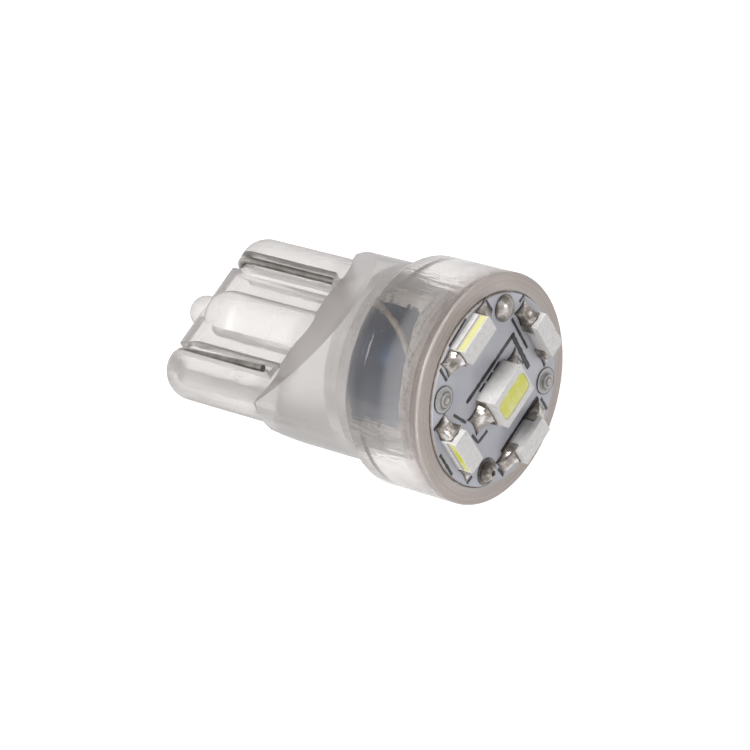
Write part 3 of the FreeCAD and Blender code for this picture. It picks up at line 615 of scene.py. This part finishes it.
def fillet(out, run, half, rise, pull, seed, steps=14):
    """Points and faces of a fillet that runs out along x from the LED's end at height 0."""
    points, faces = [], []
    for i in range(steps + 1):
        along = i / steps
        for j in range(steps + 1):
            over = 2 * j / steps - 1
            waist = 1 - pull * (1 - (2 * along - 1) ** 2)
            toe = 1 - pull * (1 - over * over)
            edge = min(1, 3.5 * (1 - abs(over)), 3.5 * (1 - along) + 0.12)
            climb = rise * (1 - along) ** 1.4 * (1 - 0.25 * over * over) + 0.13
            lump = 0.05 * noise.noise(Vector((along * 3 + seed, over * 2, seed)))
            points.append(Vector((
                out + run * along * toe, half * over * waist, max(0, climb + lump) * edge ** 0.6)))
    count = steps + 1
    for i in range(steps):
        for j in range(steps):
            faces.append([i * count + j, (i + 1) * count + j, (i + 1) * count + j + 1, i * count + j + 1])
    rim = list(range(count)) + [i * count + steps for i in range(1, count)] \
        + [steps * count + j for j in range(steps - 1, -1, -1)] + [i * count for i in range(steps - 1, 0, -1)]
    floor = len(points)
    points += [Vector((points[k].x, points[k].y, 0)) for k in rim]
    for k in range(len(rim)):
        after = (k + 1) % len(rim)
        faces.append([rim[k], rim[after], floor + after, floor + k])
    faces.append(list(range(floor, len(points))))
    return points, faces


def led_solder(start):
    place = start.lamp_place()
    cloud = place.cloud(1.6, 4.0, 0.6)
    # The solder is painted nearly black at its foot on the board: painted shade where it meets the board.
    low = (place.along("Z") - board_top).ramp((0.03, 1.0), (0.14, 0.0))
    tone = cloud.ramp((0.4, (0.14, 0.12, 0.105)), (0.54, (0.33, 0.30, 0.28)), (0.7, (0.7, 0.68, 0.66)))
    return start.node("BsdfPrincipled", {
        "Metallic": 0.6,
        "Base Color": (low * 0.85).blend(tone, (0.03, 0.025, 0.022)),
        "Roughness": cloud.ramp((0.3, 0.42), (0.65, 0.16)),
        "Normal": cloud.bump(0.5, 0.0001)})


led_solder_finish = finish("led_solder", "solder", led_solder)
for joint in ("joint_top", "joint_bottom"):
    put_on(frame["nodes"][joint], led_solder_finish)
led_places = {
    "centre_led": ((0, -0.08), 0), "side_led_1": ((3.575, -0.1), -90), "side_led_2": ((0.1, 3.795), 0),
    "side_led_3": ((-3.505, 0.17), 90), "side_led_4": ((-0.08, -3.445), 180)}
centre_fillet = {"out": 1.3, "run": 0.92, "half": 0.62, "rise": 0.5, "pull": 0.17}
side_fillet = {"out": 1.175, "run": 0.84, "half": 0.52, "rise": 0.45, "pull": 0.15}
for number, (led, (middle, degrees)) in enumerate(led_places.items()):
    size = centre_fillet if led == "centre_led" else side_fillet
    points, faces = [], []
    for end in (0, 180):
        shape, around = fillet(**size, seed=number * 2.3 + end)
        turn = Matrix.Translation((*middle, board_top)) @ Matrix.Rotation(math.radians(degrees + end), 4, "Z")
        faces += [[corner + len(points) for corner in face] for face in around]
        points += [turn @ point for point in shape]
    solder = made_piece(f"{led}_fillets", points, faces, 50)
    put_on(solder, led_solder_finish, [f"{led}_solder"])


# LEDs: one that shines forwards from the middle and four round it that shine outwards. Each is a white
# moulded housing with a window of yellow silicone and a tinned cap on each end, soldered to its pads.

def satin_white(start):
    place = start.lamp_place()
    cloud = place.cloud(4.0, 3.0)
    soot = place.cloud(6.0, 4.0, 0.7).ramp((0.63, 0.0), (0.68, 1.0))
    # The housing is painted darker just above the board: painted shade where it stands on the board.
    painted_board_shade = (place.along("Z") - board_top).ramp((0.04, 1.0), (0.2, 0.0))
    tone = cloud.ramp((0.3, (0.50, 0.49, 0.48)), (0.7, (0.58, 0.57, 0.56)))
    return start.node("BsdfPrincipled", {
        "Base Color": (soot * 0.75 + painted_board_shade * 0.4).blend(tone, (0.09, 0.075, 0.065)),
        "Roughness": 0.35 + cloud * 0.15,
        "Normal": cloud.bump(0.2, 0.00004)})


def yellow_silicone(start):
    place = start.lamp_place()
    cloud = place.cloud(1.6, 3.0)
    low = (place.along("Z") - board_top).ramp((0.38, 1.0), (0.46, 0.0))
    tone = (cloud * 0.6 + place.along("Y").maths("ABSOLUTE") * 0.3).ramp(
        (0.3, (0.52, 0.52, 0.05)), (0.55, (0.60, 0.585, 0.27)))
    return start.node("BsdfPrincipled", {
        "Base Color": low.blend(tone, (0.42, 0.40, 0.33)),
        "Roughness": 0.22 + cloud * 0.1,
        "Normal": cloud.bump(0.3, 0.00004)})


def bright_tin(start):
    place = start.lamp_place()
    cloud = place.cloud(3.0, 3.0)
    return start.node("BsdfPrincipled", {
        "Metallic": 0.9,
        "Base Color": cloud.ramp((0.35, (0.16, 0.135, 0.115)), (0.65, (0.40, 0.365, 0.33))),
        "Roughness": 0.25 + cloud * 0.3,
        "Normal": cloud.bump(0.3, 0.00005)})


white_finish = finish("satin_white", "led_white", satin_white)
yellow_finish = finish("yellow_silicone", "yellow_phosphor", yellow_silicone)
tin_finish = finish("bright_tin", "terminal_metal", bright_tin)
soft_edge = 0.00003
for led in led_places:
    for part, material in (("housing", white_finish), ("window", yellow_finish), ("terminals", tin_finish)):
        block = put_on(frame["nodes"][f"{led}_{part}"], material)
        soft = block.modifiers.new("soft_edges", "BEVEL")
        soft.width = soft_edge
        soft.segments = 2
        soft.limit_method = "ANGLE"


# Table and light: a white lit table under a soft studio tent, darker overhead, with a large lamp behind and
# a weak one in front. A long lens sees the part from above, as the photo's does.

table_mesh = bpy.data.meshes.new("table")
reach = 0.6
table_corners = [(-reach, -reach, 0), (reach, -reach, 0), (reach, reach, 0), (-reach, reach, 0)]
table_mesh.from_pydata(table_corners, [], [[0, 1, 2, 3]])
table = bpy.data.objects.new("table", table_mesh)
bpy.context.scene.collection.objects.link(table)
table_finish = bpy.data.materials.new("table_white")
table_finish.use_nodes = True
table_shader = table_finish.node_tree.nodes["Principled BSDF"]
table_shader.inputs["Base Color"].default_value = (0.3, 0.3, 0.3, 1)
table_shader.inputs["Roughness"].default_value = 0.9
table_shader.inputs["Emission Color"].default_value = (1, 1, 1, 1)
table_shader.inputs["Emission Strength"].default_value = 0.95
table_mesh.materials.append(table_finish)

world = bpy.data.worlds.new("tent")
bpy.context.scene.world = world
world.use_nodes = True
world.node_tree.nodes.clear()
sky = Shade(world.node_tree)
height_in_tent = sky.node("TexCoord", {}).along("Z")
tent_tone = height_in_tent.ramp(
    (0.0, (0.95, 0.94, 0.93)), (0.35, (0.62, 0.61, 0.60)), (0.62, (0.16, 0.16, 0.17)),
    (1.0, (0.28, 0.28, 0.28)))
sky.node("OutputWorld", {"Surface": sky.node("Background", {"Color": tent_tone, "Strength": 1.0})})


def soft_light(name, place, size, power):
    """Round area light that faces the part."""
    lamp = bpy.data.lights.new(name, "AREA")
    lamp.shape = "DISK"
    lamp.size = size
    lamp.energy = power
    light = bpy.data.objects.new(name, lamp)
    light.location = place
    light.rotation_mode = "QUATERNION"
    light.rotation_quaternion = (part_middle - Vector(place)).to_track_quat("-Z", "Y")
    bpy.context.scene.collection.objects.link(light)


part_middle = Vector((0, 0, 0.006))
soft_light("key", (-0.10, 0.06, 0.24), 0.14, 0.95)
soft_light("front", (0.05, -0.20, 0.16), 0.12, 0.1)

view_right = Vector((0.5136, -0.8502, -0.1160)).normalized()
view_ahead = Vector((0.3894, 0.3514, -0.8514)).normalized()
view_up = view_right.cross(view_ahead).normalized()
camera_data = bpy.data.cameras.new("camera")
camera_data.sensor_width = 36
camera_data.lens = 161.3
camera_data.clip_start = 0.01
camera_data.clip_end = 10
camera = bpy.data.objects.new("camera", camera_data)
camera.matrix_world = Matrix.Translation(Vector((-62.43, -57.169, 139.02)) * 0.001) \
    @ Matrix((view_right, view_up, -view_ahead)).transposed().to_4x4()
bpy.context.scene.collection.objects.link(camera)
bpy.context.scene.camera = camera
bpy.context.scene.view_settings.view_transform = "Standard"
